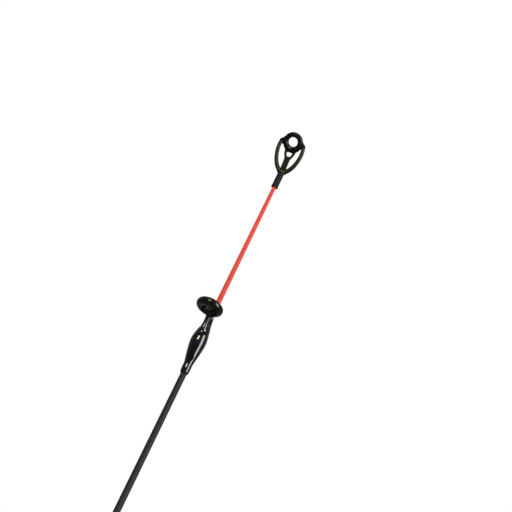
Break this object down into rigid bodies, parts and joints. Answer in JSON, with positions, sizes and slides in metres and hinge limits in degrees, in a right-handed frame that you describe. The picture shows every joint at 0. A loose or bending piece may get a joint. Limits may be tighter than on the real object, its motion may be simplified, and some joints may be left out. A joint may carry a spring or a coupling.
{
  "type": "feeder rod",
  "caption": "Telescopic feeder rod, run in, with sliding guides, a reel seat, a cork grip and a push-in quiver tip with a red end and a tip-top ring.",
  "frame": {"origin": "centre of the butt cap's flat end face", "axes": "+Z along the rod from the butt to the tip; the guides and the reel stand off towards -Y; X across"},
  "size_m": [0.0312, 0.0548, 1.1466],
  "materials": {
    "matt_blank": "matt carbon composite",
    "red_lacquer": "red fluorescent lacquer on glass fibre",
    "black_epoxy": "clear epoxy over black thread",
    "black_frame": "black coated steel",
    "black_ceramic": "polished",
    "cork": "sanded cork",
    "foam": "closed-cell foam",
    "cap_rubber": "matt",
    "bright_aluminium": "turned and anodised",
    "seat_nylon": "moulded",
    "hood_steel": "brushed"
  },
  "bodies": {
    "handle": {"butt_cap": "cap_rubber", "stow_pad": "foam", "butt_section": "matt_blank", "rear_grip_end": "foam", "rear_grip": "cork", "rear_trim_ring": "bright_aluminium", "reel_seat": "seat_nylon", "fixed_hood": "hood_steel", "front_trim_ring": "bright_aluminium", "fore_grip": "cork", "fore_grip_end": "foam", "winding_check": "bright_aluminium", "hook_keeper": "hood_steel", "lower_keeper_binding": "black_epoxy", "upper_keeper_binding": "black_epoxy", "mouth_binding": "black_epoxy", "butt_guide_frame": "black_frame", "butt_guide_ring": "black_ceramic"},
    "seat_hood": {"sliding_hood": "hood_steel"},
    "seat_nut": {"lock_nut": "seat_nylon"},
    "section_2": {"section_2_tube": "matt_blank", "section_2_guide_frame": "black_frame", "section_2_guide_ring": "black_ceramic"},
    "section_3": {"section_3_tube": "matt_blank", "section_3_guide_frame": "black_frame", "section_3_guide_ring": "black_ceramic"},
    "section_4": {"section_4_tube": "matt_blank", "section_4_guide_frame": "black_frame", "section_4_guide_ring": "black_ceramic"},
    "lower_sliding_guide": {"lower_sliding_guide_frame": "black_frame", "lower_sliding_guide_ring": "black_ceramic"},
    "upper_sliding_guide": {"upper_sliding_guide_frame": "black_frame", "upper_sliding_guide_ring": "black_ceramic"},
    "quiver_tip": {"quiver_blank": "matt_blank", "quiver_red_end": "red_lacquer", "tip_ferrule": "bright_aluminium", "tip_guide_1_frame": "black_frame", "tip_guide_1_ring": "black_ceramic", "tip_guide_1_whipping": "black_epoxy", "tip_guide_2_frame": "black_frame", "tip_guide_2_ring": "black_ceramic", "tip_guide_2_whipping": "black_epoxy", "tip_guide_3_frame": "black_frame", "tip_guide_3_ring": "black_ceramic", "tip_guide_3_whipping": "black_epoxy", "tip_top_tube": "black_frame", "tip_top_frame": "black_frame", "tip_top_wire": "black_frame", "tip_top_ring": "black_ceramic"}
  },
  "joints": [
    {"name": "section_2_slide", "type": "slide", "parent": "handle", "child": "section_2", "axis": [0, 0, 1], "range_m": [0, 0.516]},
    {"name": "section_3_slide", "type": "slide", "parent": "section_2", "child": "section_3", "axis": [0, 0, 1], "range_m": [0, 0.538]},
    {"name": "section_4_slide", "type": "slide", "parent": "section_3", "child": "section_4", "axis": [0, 0, 1], "range_m": [0, 0.573]},
    {"name": "tip_plug_slide", "type": "slide", "parent": "section_4", "child": "quiver_tip", "axis": [0, 0, 1], "range_m": [0, 0.04]},
    {"name": "lower_guide_slide", "type": "slide", "parent": "section_2", "child": "lower_sliding_guide", "axis": [0, 0, 1], "range_m": [0, 0.27]},
    {"name": "upper_guide_slide", "type": "slide", "parent": "section_3", "child": "upper_sliding_guide", "axis": [0, 0, 1], "range_m": [0, 0.287]},
    {"name": "hood_slide", "type": "slide", "parent": "handle", "child": "seat_hood", "axis": [0, 0, -1], "range_m": [0, 0.021]},
    {"name": "nut_turn", "type": "hinge", "parent": "seat_hood", "child": "seat_nut", "pos_m": [0, 0, 0.3505], "axis": [0, 0, -1], "range_deg": [0, 2560]}
  ],
  "couplings": [
    {"joint": "lower_guide_slide", "follows": "section_3_slide", "ratio": 0.5},
    {"joint": "upper_guide_slide", "follows": "section_4_slide", "ratio": 0.5},
    {"joint": "nut_turn", "follows": "hood_slide", "rad_per_m": 2094.4}
  ]
}
